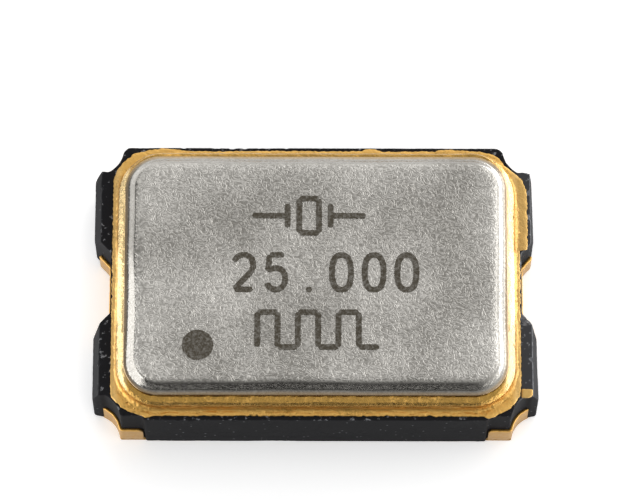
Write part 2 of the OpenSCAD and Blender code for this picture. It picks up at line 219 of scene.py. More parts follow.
def evenly(outline, step, soft):
    """A closed outline taken at even steps, its corners rounded by a Gaussian average of width soft."""
    closed = np.vstack([outline, outline[:1]])
    run = np.concatenate([[0], np.cumsum(np.linalg.norm(np.diff(closed, axis=0), axis=1))])
    count = int(round(run[-1] / step))
    at = np.arange(count) / count * run[-1]
    even = np.stack([np.interp(at, run, closed[:, k]) for k in (0, 1)], -1)
    reach = np.minimum(np.arange(count), count - np.arange(count)) * step
    weight = np.exp(-0.5 * (reach / soft) ** 2)
    share = np.fft.rfft(weight / weight.sum())[:, None]
    return np.fft.irfft(np.fft.rfft(even, axis=0) * share, count, axis=0)


def outwards(outline):
    """Unit vectors square to a closed outline, away from what it goes round."""
    along = np.roll(outline, -1, 0) - np.roll(outline, 1, 0)
    square = np.stack([along[:, 1], -along[:, 0]], -1)
    return square / np.linalg.norm(square, axis=1)[:, None]


def facing(outline, half_x, half_y, r, x=0.0):
    """The points of a rounded rectangle centred at x that lie in the same directions from the
    package's middle as the points of an outline."""
    inner = rounded_frame(half_x, half_y, r) + (x, 0)
    bearing = np.arctan2(inner[:, 1], inner[:, 0])
    order = np.argsort(bearing)
    bearing, reach = bearing[order], np.hypot(*inner[order].T)
    wanted = np.arctan2(outline[:, 1], outline[:, 0])
    reach = np.interp(wanted, bearing, reach, period=2 * np.pi)
    return np.stack([np.cos(wanted), np.sin(wanted)], -1) * reach[:, None]


def arc(x, y, r, start, stop, count=16):
    """Points on a circle round x, y between two angles in degrees."""
    turn = np.radians(np.linspace(start, stop, count))
    return np.stack([x + r * np.cos(turn), y + r * np.sin(turn)], -1)


def ramp(value, start, stop):
    """Nought before start and one after stop, with an S-shaped rise between them."""
    t = np.clip((value - start) / (stop - start), 0, 1)
    return t * t * (3 - 2 * t)


def leant(points):
    """Draws in what lies beyond x = 2.4 mm, most at the back: the tray's right wall was cut askew."""
    beyond = np.maximum(points[..., 0] - 2.4 * MM, 0)
    keep = np.clip(0.63 - 0.2 * points[..., 1] / MM, 0.15, 1)
    points = points.copy()
    points[..., 0] -= beyond * (1 - keep)
    return points


def notch_arc(sizes, x, start, stop):
    """The corner notch's arc round x and the long wall, between two angles: its radius shrinks by the
    film's thickness where the arc runs out to the short side, so that the film lies flush there."""
    turn = np.linspace(start, stop, 40)
    r = sizes.notch_radius - 0.033 * MM * ramp(turn, 240, 252)
    turn = np.radians(turn)
    return np.stack([x + r * np.cos(turn), BASE_HIGH.y + r * np.sin(turn)], -1)


def ceramic_quarter(sizes, shift=0.0):
    """Plan of a corner and its two walls: half a side notch, the wall, the corner notch, the recess
    and the long wall. shift moves the notch along the long wall."""
    half_x, half_y = BASE_HIGH.x, BASE_HIGH.y
    r, depth = sizes.notch_radius, sizes.recess_depth
    end = 0.8 * depth
    meets = math.degrees(math.asin(depth / r))
    stop = half_x - r - sizes.recess_length
    return np.vstack(
        [
            [half_x - sizes.side_notch_depth, 0],
            [half_x - sizes.side_notch_depth, sizes.side_notch_flat / 2],
            [half_x, sizes.side_notch_opening / 2],
            [half_x, half_y - r + 0.012 * MM],
            notch_arc(sizes, half_x - shift, 266, 180 + meets),
            arc(stop + end, half_y - depth + end, end, 270, 180, 8),
            [stop, half_y],
            [0, half_y],
        ]
    )


def ceramic_mesh(sizes):
    """The tray as one closed surface: the plan carried up the wall, clipped to the bevel's reach at
    each height, rounded into the rim, then turned into the stepped windows and down to the floor.
    At the back the recess ends under the upper layer, so the plan changes at the films' height."""
    askew = 0.07 * MM
    plain = ceramic_quarter(sizes)
    plan = evenly(quarters(ceramic_quarter(sizes, askew), plain, plain, plain), 0.012 * MM, 0.013 * MM)
    low, top, half_x, half_y = BASE_LOW.z, BASE_HIGH.z, BASE_HIGH.x, BASE_HIGH.y
    edge = sizes.ceramic_edge
    # The upper layers' plan, with the recesses at the back filled and rounded into the notch
    begins = half_x - sizes.notch_radius - askew * (plan[:, 0] > 0)
    fill = ramp(begins - np.abs(plan[:, 0]), -0.015 * MM, 0.06 * MM)
    fill = fill * (plan[:, 1] > half_y - 2 * sizes.recess_depth)
    upper = np.column_stack([plan[:, 0], plan[:, 1] + (half_y - plan[:, 1]) * fill])
    out_low, out_high = outwards(plan), outwards(upper)
    change = PAD_HIGH.z

    def wall(z, inset=0.0):
        shape, out = (upper, out_high) if z > change else (plan, out_low)
        into = np.clip((z - (top - sizes.bevel_height)) / sizes.bevel_height, 0, 1)
        reach = half_x - sizes.bevel_width * into - inset
        at = shape - out * inset
        return level(np.column_stack([np.clip(at[:, 0], -reach, reach), at[:, 1]]), z)

    turn = np.linspace(0, np.pi / 2, 6)
    rows = [level(plan * s, low) for s in (0.3, 0.6, 0.85)]
    rows += [wall(low + edge * (1 - math.sin(t)), edge * (1 - math.cos(t))) for t in turn[::-1]]
    rows += [wall(z) for z in np.linspace(low + 0.03 * MM, change - 0.01 * MM, 8)]
    rows += [wall(change - 0.003 * MM), wall(change + 0.003 * MM)]
    rows += [wall(z) for z in np.linspace(change + 0.02 * MM, top - sizes.bevel_height - 0.012 * MM, 6)]
    rows += [wall(z) for z in np.linspace(top - sizes.bevel_height + 0.012 * MM, top - edge, 8)]
    rows += [wall(top - edge * (1 - math.sin(t)), edge * (1 - math.cos(t))) for t in turn[1:]]
    rim = rows[-1][:, :2]
    steps = [
        ((WINDOW[0], WINDOW[1], 0.13 * MM), 0, top, CRYSTAL_SHELF),
        ((MIDDLE[0], MIDDLE[1], 0.065 * MM), MIDDLE_X, CRYSTAL_SHELF, BOND_SHELF),
        ((WELL[0], WELL[1], 0.065 * MM), MIDDLE_X, BOND_SHELF, WELL_FLOOR),
    ]
    window = facing(upper, *steps[0][0])
    rows += [level(rim + (window - rim) * s, top) for s in (0.06, 0.15, 0.3, 0.5, 0.75)]
    for shape, x, above, below in steps:
        inner = facing(upper, *shape, x)
        rows += [level(inner, z) for z in np.linspace(above, below, 4)]
    floor = rows[-1][:, :2]
    rows += [level(floor * s, WELL_FLOOR) for s in (0.7, 0.4)]
    grid = np.array(rows)
    # Fired tape isn't dead flat: slow waves on the walls and a fine grain all over
    wave = 0.0016 * MM * ripple(grid, 0.6 * MM, 3) + 0.0006 * MM * ripple(grid, 0.05 * MM, 4)
    side = np.abs(grid[..., 2] - low) > 1e-9
    grid[..., :2] += out_high * (np.minimum(wave, 0.0) * side)[..., None]
    # Chips out of the upper edge, deepest where a second pattern is high
    near = np.exp(-(((grid[..., 2] - top) / (0.02 * MM)) ** 2))
    outer = np.linalg.norm(grid[..., :2] - upper, axis=-1) < 0.12 * MM
    chip = np.clip(ripple(grid, 0.12 * MM, 5) - 1.1, 0, 1) * near * outer
    grid[..., 2] -= 0.012 * MM * chip
    grid[..., :2] -= out_high * (0.01 * MM * chip)[..., None]
    return surface("ceramic_tray", leant(grid), [[0, 0, low], [MIDDLE_X, 0, WELL_FLOOR]])


# Levels and windows of the tray's inside, from the pieces that stand in it
CRYSTAL_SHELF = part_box("crystal_contact_1")[0].z
BOND_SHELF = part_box("bond_pad_1")[0].z
WELL_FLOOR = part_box("die_attach")[0].z
MIDDLE_X = (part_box("die_attach")[0].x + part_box("die_attach")[1].x) / 2
WINDOW = (RING_HIGH.x - 0.37 * MM, RING_HIGH.y - 0.37 * MM)
MIDDLE = (1.325 * MM, WINDOW[1] - 0.04 * MM)
WELL = (1.0 * MM, 0.74 * MM)


# Plan of the film in each quarter, from the short side to the long one, in millimetres: its slanted
# corner, and at the back right also the patch on the ledge
FILM_CORNERS = (
    (
        *((2.285, 0.39), (2.36, 0.39), (2.372, 0.43), (2.374, 0.977), (2.367, 1.07), (2.35, 1.162), (2.32, 1.228)),
        *((2.27, 1.265), (2.251, 1.281), (2.181, 1.34), (2.119, 1.392), (2.069, 1.472), (1.987, 1.524), (1.85, 1.55)),
    ),
    ((2.285, 1.2146), (2.246, 1.327), (2.195, 1.392), (2.138, 1.459), (2.057, 1.524), (1.9, 1.553)),
    ((2.285, 1.3), (2.268, 1.345), (2.157, 1.467), (2.068, 1.51), (1.957, 1.548), (1.868, 1.585), (1.81, 1.558)),
    ((2.285, 1.22), (2.265, 1.33), (2.176, 1.456), (2.043, 1.53), (1.921, 1.587), (1.84, 1.558)),
)


def film_mesh(sizes):
    """Gold film on the rim: straight edges between slanted corners, soft bulges where the plating ran
    out to the back wall, and a patch and a spot on the right ledge. Rows that step inwards join it
    to the window. The outer edge is ragged and the face is pitted."""
    outline = quarters(*[np.array([(2.285, 0), *corner, (0, 1.556)]) * MM for corner in FILM_CORNERS])
    spot = np.array([[2.285, -1.34], [2.37, -1.34], [2.41, -1.31], [2.415, -1.24], [2.285, -1.235]]) * MM
    plan = evenly(outline, 0.012 * MM, 0.012 * MM)
    out = outwards(plan)
    here = level(plan, 0.0)
    nick = np.clip(ripple(here, 0.1 * MM, 8) - 0.9, 0, 1.2)
    plan = plan + out * (0.0022 * MM * ripple(here, 0.05 * MM, 7) - 0.007 * MM * nick)[:, None]
    bulge = sum(
        size * np.exp(-(((plan[:, 0] / MM - x) / width) ** 2))
        for x, width, size in ((-1.71, 0.2, 0.033), (0.6, 0.13, 0.03), (1.5, 0.3, 0.024), (-0.4, 0.5, 0.006))
    )
    plan[:, 1] += bulge * MM * ramp(plan[:, 1], 1.5 * MM, 1.56 * MM)
    window = facing(plan, WINDOW[0], WINDOW[1], 0.13 * MM)
    low, top = FILM_LOW.z, FILM_HIGH.z
    gap = np.linalg.norm(window - plan, axis=1)[:, None]
    rows = [level(window, low), level(plan, low), level(plan, low + 0.6 * (top - low))]
    for step in (0.004, 0.012, 0.024, 0.04, 0.06, 0.085, 0.12, 0.2):
        rows.append(level(plan + (window - plan) * step * MM / gap, top))
    rows.append(level(window, top))
    grid = np.array(rows)
    face = grid[..., 2] > top - 1e-9
    # The melt drew up into a low lip along the film's edge
    lip = np.array([0, 0, 0, 0, 0.3, 0.9, 1, 0.7, 0.35, 0.1, 0, 0])[:, None]
    grid[..., 2] += face * 0.001 * MM * ripple(grid, 0.045 * MM, 9)
    grid[..., 2] += face * lip * 0.005 * MM * (1 + 0.5 * ripple(grid, 0.16 * MM, 10))
    frame_film = surface("film", grid)
    return merged("seal_film", [frame_film, film_patch(spot)])


def film_patch(outline):
    """A small separate patch of film on the ledge: its outline shrunk towards its middle in rows."""
    plan = evenly(outline, 0.008 * MM, 0.01 * MM)
    middle = plan.mean(0)
    low, top = FILM_LOW.z, FILM_HIGH.z
    rows = [
        level(middle + (plan - middle) * s, z)
        for s, z in ((0.5, low), (1, low), (1, low + 0.5 * (top - low)), (0.93, top), (0.6, top), (0.3, top))
    ]
    grid = leant(np.array(rows))
    return surface("patch", grid, [[*middle, low], [*middle, top]])


def braze_mesh(sizes):
    """The braze between the ring's wall and the film: a hollow quarter circle carried round the ring,
    whose spread and climb vary along it, with pits."""
    low = RING_LOW.z
    turn = np.linspace(0, np.pi / 2, 9)
    spread = np.concatenate([[0.0, 0.5], 1 - np.sin(turn), [0.0]])
    climb = np.concatenate([[0.0, 0.0], 1 - np.cos(turn), [0.4]])
    spread[1] = 0.5
    rows = []
    for s, c in zip(spread, climb):
        outline = rounded_frame(RING_HIGH.x, RING_HIGH.y, sizes.ring_corner, (100, 74, 174))
        out = outwards(outline)
        here = level(outline, 0.0)
        wide = sizes.braze_width * (1 + 0.14 * ripple(here, 0.5 * MM, 11) + 0.06 * ripple(here, 0.12 * MM, 12))
        high = sizes.braze_height * (1 + 0.1 * ripple(here, 0.4 * MM, 13))
        rows.append(level(outline + out * (wide * s - 0.004 * MM)[:, None], low + high * c))
    grid = np.array(rows)
    pits = 0.0016 * MM * ripple(grid, 0.045 * MM, 14)
    grid[3:-2, :, 2] += pits[3:-2]
    return surface("braze_bead", grid)


def ring_mesh(sizes):
    """The seal ring: a band carried round its outline. Its outer edge is worn to a rounded slope
    whose section follows |x|^1.18 + |y|^1.18 = 1, wide on the short sides and narrow on the long ones.
    Beside the lid's foot the weld has thrown up a low ragged bead."""
    low, top = RING_LOW.z, RING_HIGH.z
    counts = (100, 74, 174)
    square = outwards(rounded_frame(RING_HIGH.x, RING_HIGH.y, sizes.ring_corner, counts))
    worn = sizes.ring_edge * (0.35 + 0.65 * square[:, 0] ** 2)
    here = level(rounded_frame(RING_HIGH.x, RING_HIGH.y, sizes.ring_corner, counts), 0.0)
    bead = np.clip(0.55 + 0.6 * ripple(here, 0.13 * MM, 24), 0, 1.6)
    worn = worn * (1 + 0.1 * ripple(here, 0.5 * MM, 25))
    turn = np.linspace(0, np.pi / 2, 10)
    flat = np.zeros(len(here))
    profile = [(sizes.ring_width + flat, low), (flat, low), (flat, low + 0.05 * MM)]
    profile += [
        (worn * (1 - math.cos(t) ** 1.7), top - 1.2 * worn * (1 - math.sin(t) ** 1.7)) for t in turn
    ]
    profile += [(d * MM + flat, top + h * bead * MM) for d, h in ((0.073, 0.006), (0.08, 0.009), (0.088, 0.003), (0.1, 0))]
    profile += [(0.2 * MM + flat, top), (sizes.ring_width + flat, top)]
    frame_points = rounded_frame(RING_HIGH.x, RING_HIGH.y, sizes.ring_corner, counts)
    grid = np.array([level(frame_points - square * d[:, None], z) for d, z in profile])
    sway = 0.0022 * MM * ripple(grid, 0.9 * MM, 21) + 0.0006 * MM * ripple(grid, 0.09 * MM, 22)
    grid[1:, :, :2] -= square * np.abs(sway[1:])[..., None]
    grid[12:-1, :, 2] -= 0.001 * MM * np.abs(ripple(grid[12:-1], 0.3 * MM, 23))
    return surface("gold_ring", grid)


# Section of the drawn lid from its foot's outer edge to its flat top: distance inwards and height
# above the ring, in millimetres. The foot rises at about 30 degrees, the shoulder climbs at about
# 54 and rounds off slowly into the top.
LID_SECTION = (
    *((0.0, 0.004), (0.0, 0.02), (0.004, 0.0255), (0.012, 0.029), (0.024, 0.0345), (0.036, 0.0415), (0.046, 0.049)),
    *((0.054, 0.0575), (0.063, 0.0695), (0.073, 0.0833), (0.083, 0.097), (0.092, 0.1092), (0.101, 0.1202)),
    *((0.11, 0.1298), (0.119, 0.1377), (0.129, 0.1446), (0.14, 0.1508), (0.152, 0.1564), (0.166, 0.1612)),
    *((0.183, 0.1656), (0.203, 0.1688), (0.226, 0.17)),
)


def lid_mesh(sizes):
    """The drawn lid: from the middle of its hollow side out along the sheet to the foot, up the
    section that LID_SECTION gives, and in over the top, which is faintly uneven."""
    middle = np.array([(LID_LOW.x + LID_HIGH.x) / 2, (LID_LOW.y + LID_HIGH.y) / 2])
    half_x, half_y = (LID_HIGH.x - LID_LOW.x) / 2, (LID_HIGH.y - LID_LOW.y) / 2
    low, top = LID_LOW.z, LID_HIGH.z
    sheet = sizes.lid_sheet

    def row(inset, z, shrink=1.0):
        return level(rounded_frame(half_x - inset, half_y - inset, sizes.lid_corner - inset) * shrink + middle, z)

    flat = LID_SECTION[-1][0] * MM
    rows = [row(flat, top - sheet, s) for s in (0.3, 0.6, 0.85)]
    rows += [row((0.226 - 0.012 * k) * MM, top - sheet - 0.0045 * k**2 * MM) for k in range(5)]
    rows += [row(0.15 * MM, low), row(0.006 * MM, low)]
    rows += [row(d * MM, low + h * MM) for d, h in LID_SECTION]
    first = len(rows)
    rows += [
        row(flat, top, s)
        for s in (0.985, 0.97, 0.95, 0.92, 0.88, 0.83, 0.77, 0.7, 0.62, 0.53, 0.43, 0.32, 0.2, 0.08)
    ]
    grid = np.array(rows)
    # The press leaves slow waves in the sheet, and the shoulder isn't quite even round the lid
    inner = grid[first:]
    within = 1 - np.maximum(np.abs(inner[..., 0] / half_x), np.abs((inner[..., 1] - middle[1]) / half_y)) ** 8
    inner[..., 2] -= 0.0006 * MM * np.logaddexp(0, 2 + 2 * ripple(inner, 0.8 * MM, 31)) * within
    start = first - len(LID_SECTION)
    shoulder = grid[start:first]
    swell = np.sin(np.linspace(0, np.pi, len(LID_SECTION)))[:, None]
    away = shoulder[..., :2] - middle
    away /= np.linalg.norm(away, axis=-1)[..., None]
    shoulder[..., :2] -= away * (0.003 * MM * swell * (1 + ripple(shoulder, 0.7 * MM, 32)))[..., None]
    peak = top - 0.0012 * MM
    return surface("nickel_cover", grid, [[*middle, top - sheet], [*middle, peak]])


def ribbon(path, section, closed_ends=True):
    """A flat section carried along an open plan path. In the section, the first number runs square
    to the path and the second up; the ends are closed to the section's middle."""
    along = np.gradient(path, axis=0)
    out = np.stack([along[:, 1], -along[:, 0]], -1)
    out /= np.linalg.norm(out, axis=1)[:, None]
    plan = path[:, None] + out[:, None] * section[..., 0, None]
    up = np.broadcast_to(section[..., 1], plan.shape[:2])
    grid = np.concatenate([plan, up[..., None]], -1)
    return surface("ribbon", grid, [grid[0].mean(0), grid[-1].mean(0)])


def along_path(corners, step):
    """Points at even steps along an open path."""
    run = np.concatenate([[0], np.cumsum(np.linalg.norm(np.diff(corners, axis=0), axis=1))])
    at = np.linspace(0, run[-1], max(int(run[-1] / step), 8) + 1)
    return np.stack([np.interp(at, run, corners[:, k]) for k in (0, 1)], -1)


def softened(path, width):
    """An open path averaged with its neighbours width times, its ends held."""
    path = path.copy()
    for _ in range(width):
        path[1:-1] = 0.25 * path[:-2] + 0.5 * path[1:-1] + 0.25 * path[2:]
    return path


def terminal_mesh(sizes, side_x, side_y, seed, shift=0.0):
    """A corner's film, as a band along the notch and the recess, and its solder pad, as a plate cut
    to the notch. The band's top and its inner end are ragged, as brushed paste is."""
    half_x, half_y, r = BASE_HIGH.x, BASE_HIGH.y, sizes.notch_radius
    depth, thick = sizes.recess_depth, 0.03 * MM
    meets = math.degrees(math.asin(depth / r))
    path = np.vstack([arc(half_x - shift, half_y, r, 247, 180 + meets, 30), [1.935 * MM, half_y - depth]])
    path = leant(softened(along_path(path, 0.008 * MM), 3)) * (side_x, side_y)
    here = level(path, 0.0)
    run = np.linspace(0, 1, len(path))
    if side_x * side_y < 0:
        path, here = path[::-1], here[::-1]
        run = run[::-1]
    length_left = (1 - run) * len(run) * 0.008 * MM
    tip = 1 - np.sqrt(1 - np.clip(1 - length_left / (0.05 * MM), 0, 0.999) ** 2)
    top = PAD_HIGH.z - 0.004 * MM * np.clip(ripple(here, 0.07 * MM, seed) + 0.8, 0, 3) - 0.06 * MM * tip
    low = 0.001 * MM + 0.05 * MM * tip
    edge = 0.007 * MM
    section = np.empty((len(path), 9, 2))
    outer = thick * (1 - 0.05 * np.abs(ripple(here, 0.1 * MM, seed + 1)))
    section[:, 0] = np.stack([np.full_like(top, -0.004 * MM), top], -1)
    for k, t in enumerate(np.linspace(0, np.pi / 2, 4)):
        section[:, 1 + k] = np.stack([outer - edge * (1 - math.sin(t)), top - edge * (1 - math.cos(t))], -1)
    for k, share in enumerate((0.6, 0.3, 0.0)):
        section[:, 5 + k] = np.stack([outer, low + (top - low) * share], -1)
    section[:, 8] = np.stack([np.full_like(top, -0.004 * MM), low], -1)
    band = ribbon(path, section)
    x0, x1, y0, y1 = PAD_LOW.x, half_x - 0.1 * MM, PAD_LOW.y, half_y - depth + thick
    inner = r - thick
    first = math.degrees(math.acos(min((half_x - shift - x1) / inner, 1)))
    last = math.degrees(math.asin((half_y - y1) / inner))
    plate = np.vstack(
        [
            [x1, y0],
            arc(half_x - shift, half_y, inner, 180 + first, 180 + last, 20),
            arc(x0 + 0.08 * MM, y1 - 0.08 * MM, 0.08 * MM, 90, 180, 8),
            arc(x0 + 0.08 * MM, y0 + 0.08 * MM, 0.08 * MM, 180, 270, 8),
        ]
    )
    plate = evenly(plate, 0.014 * MM, 0.012 * MM)
    middle = np.array([(x0 + x1) / 2, (y0 + y1) / 2])
    height = PAD_LOW.z, BASE_LOW.z
    rows = []
    for shrink, z in ((0.5, 0), (0.9, 0), (0.985, 0.02), (1.0, 0.25), (1.0, 1.0), (0.9, 1.0), (0.5, 1.0)):
        at = (middle + (plate - middle) * shrink) * (side_x, side_y)
        rows.append(level(at[::-1] if side_x * side_y < 0 else at, height[0] + z * (height[1] - height[0])))
    grid = np.array(rows)
    centre = middle * (side_x, side_y)
    pad = surface("pad", grid, [[*centre, height[0]], [*centre, height[1]]])
    return merged("terminal", [band, pad])


def side_film_mesh(sizes, side, seed):
    """The film in a side notch: a band along the notch's flanks and bottom."""
    half_x, depth = BASE_HIGH.x, sizes.side_notch_depth
    opening, flat = sizes.side_notch_opening / 2, sizes.side_notch_flat / 2
    corners = np.array([[half_x, -opening], [half_x - depth, -flat], [half_x - depth, flat], [half_x, opening]])
    path = softened(along_path(corners, 0.008 * MM), 4)
    path = path[path[:, 0] <= half_x - 0.07 * MM] * (side, side)
    path = leant(path)
    here = level(path, 0.0)
    top = SIDE_HIGH.z - 0.003 * MM * np.clip(ripple(here, 0.08 * MM, seed) + 0.8, 0, 3)
    thick = 0.036 * MM * (1 - 0.05 * np.abs(ripple(here, 0.12 * MM, seed + 1)))
    edge, back = 0.007 * MM, np.full_like(top, -0.004 * MM)
    low = np.full_like(top, SIDE_LOW.z)
    points = [(back, top)]
    points += [
        (thick - edge * (1 - math.sin(t)), top - edge * (1 - math.cos(t))) for t in np.linspace(0, np.pi / 2, 4)
    ]
    points += [(thick, 0.6 * top), (thick, low), (back, low)]
    section = np.stack([np.stack(p, -1) for p in points], 1)
    mesh = ribbon(path, section)
    mesh.name = "notch_film"
    return mesh


def stroke(path, width, rise):
    """A laser marked line: a thin band with round ends along an open path. Its half width follows a
    half circle at each end, and its upper side stands a hair above the lid."""
    path = along_path(np.asarray(path, float), width / 8)
    run = np.concatenate([[0], np.cumsum(np.linalg.norm(np.diff(path, axis=0), axis=1))])
    near = np.clip(np.minimum(run, run[-1] - run) / (width / 2), 0, 1)
    half = width / 2 * np.sqrt(np.clip(1 - (1 - near) ** 2, 0.0004, 1))
    top = LID_HIGH.z + rise + 0 * half
    low = top - 0.012 * MM
    section = np.stack([np.stack(p, -1) for p in [(-half, top), (half, top), (half, low), (-half, low)]], 1)
    return ribbon(path, section)


def oval(x, y, a, b, start, stop, power=2.0, count=40):
    """Points on a rounded oval round x, y; a power above two makes its sides straighter."""
    turn = np.radians(np.linspace(start, stop, count))
    c, s = np.cos(turn), np.sin(turn)
    return np.stack(
        [x + a * np.sign(c) * np.abs(c) ** (2 / power), y + b * np.sign(s) * np.abs(s) ** (2 / power)], -1
    )


def figure(sign, w, h):
    """Strokes of a figure of width w and height h, centred on its own place."""
    x, y = w / 2, h / 2
    if sign == "0":
        return [oval(0, 0, x, y, -14, 194, 2.5), oval(0, 0, x, y, 166, 374, 2.5)]
    if sign == "2":
        bend = oval(0, y - 0.29 * h, x, 0.29 * h, 165, -38, 2.2)
        return [np.vstack([bend, [[-x, -y]]]), np.array([[-x, -y], [x, -y]])]
    if sign == "5":
        return [
            np.array([[0.86 * x, y], [-0.72 * x, y]]),
            np.array([[-0.72 * x, y], [-0.86 * x, 0.02 * h]]),
            oval(-0.05 * x, -0.19 * h, x, 0.31 * h, 143, -160, 2.1),
        ]
    return [np.array([[-0.036 * MM, -y], [0.036 * MM, -y]])]


def mark_meshes(sizes):
    """The three lines of marks and the dot: the symbol of a crystal, a plain number and a square wave."""
    w, h = sizes.mark_stroke, sizes.mark_height - sizes.mark_stroke
    lines = []
    for k, sign in enumerate("25.000"):
        place = ((-0.806 + 0.363 * k) * MM, 0.006 * MM)
        lines += [path + place for path in figure(sign, 0.21 * MM, h)]
    y = 0.67 * MM
    x = -0.079 * MM
    half = h / 2
    lines += [
        np.array([[x - 0.635 * MM, y], [x - 0.24 * MM, y]]),
        np.array([[x + 0.24 * MM, y], [x + 0.635 * MM, y]]),
        np.array([[x - 0.24 * MM, y - 0.7 * half], [x - 0.24 * MM, y + 0.7 * half]]),
        np.array([[x + 0.24 * MM, y - 0.7 * half], [x + 0.24 * MM, y + 0.7 * half]]),
        np.array([[x - 0.11 * MM, y - half], [x - 0.11 * MM, y + half]]),
        np.array([[x + 0.11 * MM, y - half], [x + 0.11 * MM, y + half]]),
        np.array([[x - 0.11 * MM, y + half], [x + 0.11 * MM, y + half]]),
        np.array([[x - 0.11 * MM, y - half], [x + 0.11 * MM, y - half]]),
    ]
    x0, step, y = -0.65 * MM, 0.225 * MM, -0.662 * MM
    wave = [[x0, y - half]]
    for k in range(6):
        now = y + half if k % 2 == 0 else y - half
        wave += [[x0 + step * k, now], [x0 + step * (k + 1), now]]
    wave = np.array(wave)
    lines += [wave[k : k + 2] for k in range(len(wave) - 1)]
    marks = [stroke(path, w, (0.0012 + 0.00012 * (k % 7)) * MM) for k, path in enumerate(lines)]
    middle = np.array([-1.311, -0.843]) * MM
    turn = np.linspace(0, 2 * np.pi, 96, endpoint=False)
    round_edge = np.stack([np.cos(turn), np.sin(turn)], -1)
    rim = sizes.mark_dot / 2 * (1 + 0.012 * ripple(level(round_edge * MM, 0.0), 0.4 * MM, 41))[:, None]
    top = LID_HIGH.z + 0.0015 * MM
    rows = [level(middle + round_edge * rim * s, z) for s, z in ((0.5, top - 0.012 * MM), (1, top - 0.012 * MM), (1, top), (0.5, top))]
    dot = surface("dot", np.array(rows), [[*middle, top - 0.012 * MM], [*middle, top]])
    made = merged("laser_figures", marks), merged("laser_dot", [dot])
    for mesh in made:
        mesh.shade_flat()
    return made


# ---------------------------------------------------------------- finishes


def add(tree, kind, inputs=(), **settings):
    """Adds a node with its settings; each input is set to a value or linked to a socket."""
    made = tree.nodes.new(kind)
    for name, value in settings.items():
        setattr(made, name, value)
    for name, value in dict(inputs).items():
        if isinstance(value, bpy.types.NodeSocket):
            tree.links.new(value, made.inputs[name])
        else:
            made.inputs[name].default_value = value
    return made


def blank(name):
    """An empty material and its tree, with the place on the object in millimetres."""
    material = bpy.data.materials.new(name)
    material.use_nodes = True
    tree = material.node_tree
    tree.nodes.clear()
    place = add(tree, "ShaderNodeTexCoord").outputs["Object"]
    millimetres = add(tree, "ShaderNodeVectorMath", {0: place, "Scale": 1000.0}, operation="SCALE").outputs[0]
    return material, tree, millimetres


def close(tree, **inputs):
    """The principled shader and the output of a material; input names use _ for a space."""
    shader = add(tree, "ShaderNodeBsdfPrincipled", {k.replace("_", " "): v for k, v in inputs.items()})
    add(tree, "ShaderNodeOutputMaterial", {"Surface": shader.outputs[0]})


def rgba(rgb):
    return (*rgb, 1.0)


def tumbled_strokes(tree, place):
    """Short curling strokes: contour lines of a warped noise. The tumbling media of a lid plant
    leave strokes 5 to 15 microns wide; they are drawn 15 to 25 wide, so that they show."""
    warp = add(tree, "ShaderNodeTexNoise", {"Vector": place, "Scale": 9.0, "Detail": 1.0})
    shift = add(tree, "ShaderNodeVectorMath", {0: warp.outputs["Color"], 1: (0.5, 0.5, 0.5)}, operation="SUBTRACT")
    shift = add(tree, "ShaderNodeVectorMath", {0: shift.outputs[0], "Scale": 0.12}, operation="SCALE")
    bent = add(tree, "ShaderNodeVectorMath", {0: place, 1: shift.outputs[0]}, operation="ADD").outputs[0]
    field = add(tree, "ShaderNodeTexNoise", {"Vector": bent, "Scale": 17.0, "Detail": 0.0})
    turns = add(tree, "ShaderNodeMath", {0: field.outputs["Fac"], 1: 26.0}, operation="MULTIPLY")
    lines = add(tree, "ShaderNodeMath", {0: turns.outputs[0]}, operation="SINE")
    grain = add(tree, "ShaderNodeTexNoise", {"Vector": place, "Scale": 30.0, "Detail": 3.0, "Roughness": 0.7})
    both = add(tree, "ShaderNodeMath", {0: lines.outputs[0], 1: 0.16, 2: grain.outputs["Fac"]}, operation="MULTIPLY_ADD")
    return both.outputs[0]


def tumbled_nickel(colours):
    """Nickel plated lid, tumbled with its batch: a satin grey all over fine curling strokes, with
    cloudy lighter and darker areas. The die polished the shoulder, so it has less of both; its
    colour is also darkened there as painted shade. Satin metal: metallic 1, roughness about 0.3."""
    material, tree, place = blank("tumbled_nickel")
    strokes = tumbled_strokes(tree, place)
    cloud = add(tree, "ShaderNodeTexNoise", {"Vector": place, "Scale": 0.9, "Detail": 3.0}).outputs["Fac"]
    height = add(tree, "ShaderNodeSeparateXYZ", {0: place}).outputs["Z"]
    top = LID_HIGH.z / MM
    face = add(tree, "ShaderNodeMapRange", {0: height, 1: top - 0.035, 2: top - 0.012, 3: 0.0, 4: 1.0}).outputs[0]
    shade = add(tree, "ShaderNodeMath", {0: cloud, 1: 1.2, 2: strokes}, operation="MULTIPLY_ADD").outputs[0]
    tone = add(tree, "ShaderNodeMapRange", {0: shade, 1: 0.75, 2: 1.45}).outputs[0]
    # Painted shade: on the shoulder the tone falls to 0.4 of the face's, which darkens it
    tone = add(tree, "ShaderNodeMath", {0: tone, 1: add(tree, "ShaderNodeMapRange", {0: face, 3: 0.4}).outputs[0]}, operation="MULTIPLY")
    base = mixed(tree, tone.outputs[0], colours.lid_dark_and_painted_shade, colours.lid_light)
    rough = add(tree, "ShaderNodeMapRange", {0: cloud, 1: 0.3, 2: 0.7, 3: 0.26, 4: 0.36}).outputs[0]
    rough = add(tree, "ShaderNodeMapRange", {0: face, 3: 0.13, 4: rough}).outputs[0]
    # Towards the foot the colour mixes half way to the deep gold: a darker, browner band
    foot = LID_LOW.z / MM
    weld = add(tree, "ShaderNodeMapRange", {0: height, 1: foot + 0.045, 2: foot + 0.028, 3: 0.0, 4: 0.5}).outputs[0]
    base = mixed(tree, weld, base, colours.gold_deep_and_painted_shade)
    depth = add(tree, "ShaderNodeMapRange", {0: face, 3: 0.0016 * MM, 4: 0.0115 * MM}).outputs[0]
    bump = add(tree, "ShaderNodeBump", {"Strength": 1.0, "Distance": depth, "Height": strokes})
    close(tree, Base_Color=base, Metallic=1.0, Roughness=rough, Normal=bump.outputs[0])
    return material


